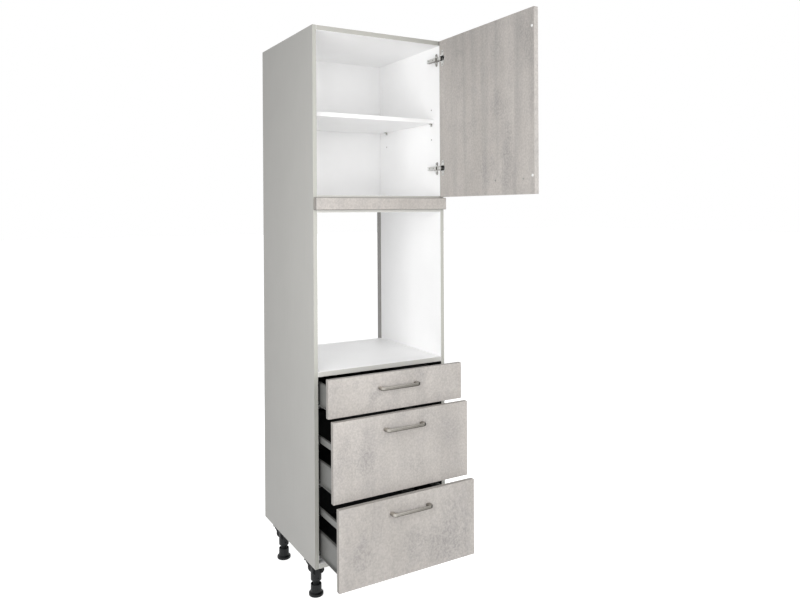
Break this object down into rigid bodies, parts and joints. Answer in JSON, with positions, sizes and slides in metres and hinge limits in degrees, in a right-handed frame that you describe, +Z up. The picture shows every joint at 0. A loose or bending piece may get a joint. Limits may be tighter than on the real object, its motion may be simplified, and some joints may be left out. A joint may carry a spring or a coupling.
{
  "type": "tall oven housing unit",
  "caption": "Tall kitchen unit for a built-in oven: door compartment with a shelf above an open oven niche, steel-sided drawers with bow handles below, on screw-in feet.",
  "frame": {"origin": "centre of the niche floor's top face, the shelf that the oven stands on, 896.5 mm above the floor", "axes": "+X to the right seen from the front, +Y towards the wall behind, +Z up"},
  "size_m": [0.6293, 1.1625, 2.232],
  "materials": {
    "carcass_grey": "light grey melamine on chipboard, white on the inner face",
    "carcass_white": "white melamine on chipboard, satin",
    "back_white": "thin white coated fibreboard",
    "front_concrete": "light concrete-look melamine, matt, edges in the same tone",
    "drawer_steel": "anthracite-grey powder coat on folded sheet steel",
    "drawer_dark": "anthracite melamine on chipboard, matt",
    "runner_zinc": "zinc-plated steel",
    "satin_nickel": "satin nickel plated",
    "hinge_nickel": "nickel-plated steel",
    "leg_plastic": "dark grey moulded plastic"
  },
  "bodies": {
    "carcass": {"back_panel_lower": "back_white", "back_panel_upper": "back_white", "bottom_drawer_runner_left": "runner_zinc", "bottom_drawer_runner_right": "runner_zinc", "bottom_panel": "carcass_white", "compartment_floor": "carcass_white", "hinge_arm_lower": "hinge_nickel", "hinge_arm_upper": "hinge_nickel", "leg_socket_front_left": "leg_plastic", "leg_socket_front_right": "leg_plastic", "leg_socket_rear_left": "leg_plastic", "leg_socket_rear_right": "leg_plastic", "middle_drawer_runner_left": "runner_zinc", "middle_drawer_runner_right": "runner_zinc", "niche_floor": "carcass_white", "niche_roof": "carcass_white", "shelf": "carcass_white", "shelf_support_front_left": "satin_nickel", "shelf_support_front_right": "satin_nickel", "shelf_support_rear_left": "satin_nickel", "shelf_support_rear_right": "satin_nickel", "side_panel_left": "carcass_grey", "side_panel_right": "carcass_grey", "top_drawer_runner_left": "runner_zinc", "top_drawer_runner_right": "runner_zinc", "top_panel": "carcass_white", "trim_strip": "front_concrete"},
    "top_drawer": {"top_drawer_back": "drawer_dark", "top_drawer_bottom": "drawer_dark", "top_drawer_front": "front_concrete", "top_drawer_handle": "satin_nickel", "top_drawer_side_left": "drawer_steel", "top_drawer_side_right": "drawer_steel"},
    "middle_drawer": {"middle_drawer_back": "drawer_dark", "middle_drawer_bottom": "drawer_dark", "middle_drawer_front": "front_concrete", "middle_drawer_handle": "satin_nickel", "middle_drawer_rail_left": "drawer_steel", "middle_drawer_rail_right": "drawer_steel", "middle_drawer_side_left": "drawer_steel", "middle_drawer_side_right": "drawer_steel"},
    "bottom_drawer": {"bottom_drawer_back": "drawer_dark", "bottom_drawer_bottom": "drawer_dark", "bottom_drawer_front": "front_concrete", "bottom_drawer_handle": "satin_nickel", "bottom_drawer_rail_left": "drawer_steel", "bottom_drawer_rail_right": "drawer_steel", "bottom_drawer_side_left": "drawer_steel", "bottom_drawer_side_right": "drawer_steel"},
    "door": {"door_panel": "front_concrete", "door_handle": "satin_nickel", "hinge_cup_upper": "hinge_nickel", "hinge_cup_lower": "hinge_nickel"},
    "hinge_links": {"hinge_link_upper": "hinge_nickel", "hinge_link_lower": "hinge_nickel"},
    "foot_front_left": {"foot_front_left": "leg_plastic"},
    "foot_front_right": {"foot_front_right": "leg_plastic"},
    "foot_rear_left": {"foot_rear_left": "leg_plastic"},
    "foot_rear_right": {"foot_rear_right": "leg_plastic"}
  },
  "joints": [
    {"name": "door_hinge", "type": "hinge", "parent": "carcass", "child": "door", "pos_m": [0.28975, -0.29425, 1.029], "axis": [0, 0, 1], "range_deg": [-90, 15]},
    {"name": "hinge_link_turn", "type": "hinge", "parent": "carcass", "child": "hinge_links", "pos_m": [0.27375, -0.27925, 1.029], "axis": [0, 0, 1], "range_deg": [-6.5, 37.5]},
    {"name": "top_drawer_slide", "type": "slide", "parent": "carcass", "child": "top_drawer", "axis": [0, -1, 0], "range_m": [-0.102, 0.278]},
    {"name": "middle_drawer_slide", "type": "slide", "parent": "carcass", "child": "middle_drawer", "axis": [0, -1, 0], "range_m": [-0.143, 0.237]},
    {"name": "bottom_drawer_slide", "type": "slide", "parent": "carcass", "child": "bottom_drawer", "axis": [0, -1, 0], "range_m": [-0.187, 0.193]},
    {"name": "foot_front_left_height", "type": "slide", "parent": "carcass", "child": "foot_front_left", "axis": [0, 0, -1], "range_m": [0, 0.02]},
    {"name": "foot_front_right_height", "type": "slide", "parent": "carcass", "child": "foot_front_right", "axis": [0, 0, -1], "range_m": [0, 0.02]},
    {"name": "foot_rear_left_height", "type": "slide", "parent": "carcass", "child": "foot_rear_left", "axis": [0, 0, -1], "range_m": [0, 0.02]},
    {"name": "foot_rear_right_height", "type": "slide", "parent": "carcass", "child": "foot_rear_right", "axis": [0, 0, -1], "range_m": [0, 0.02]}
  ],
  "couplings": [
    {"joint": "hinge_link_turn", "follows": "door_hinge", "ratio": -0.41}
  ]
}
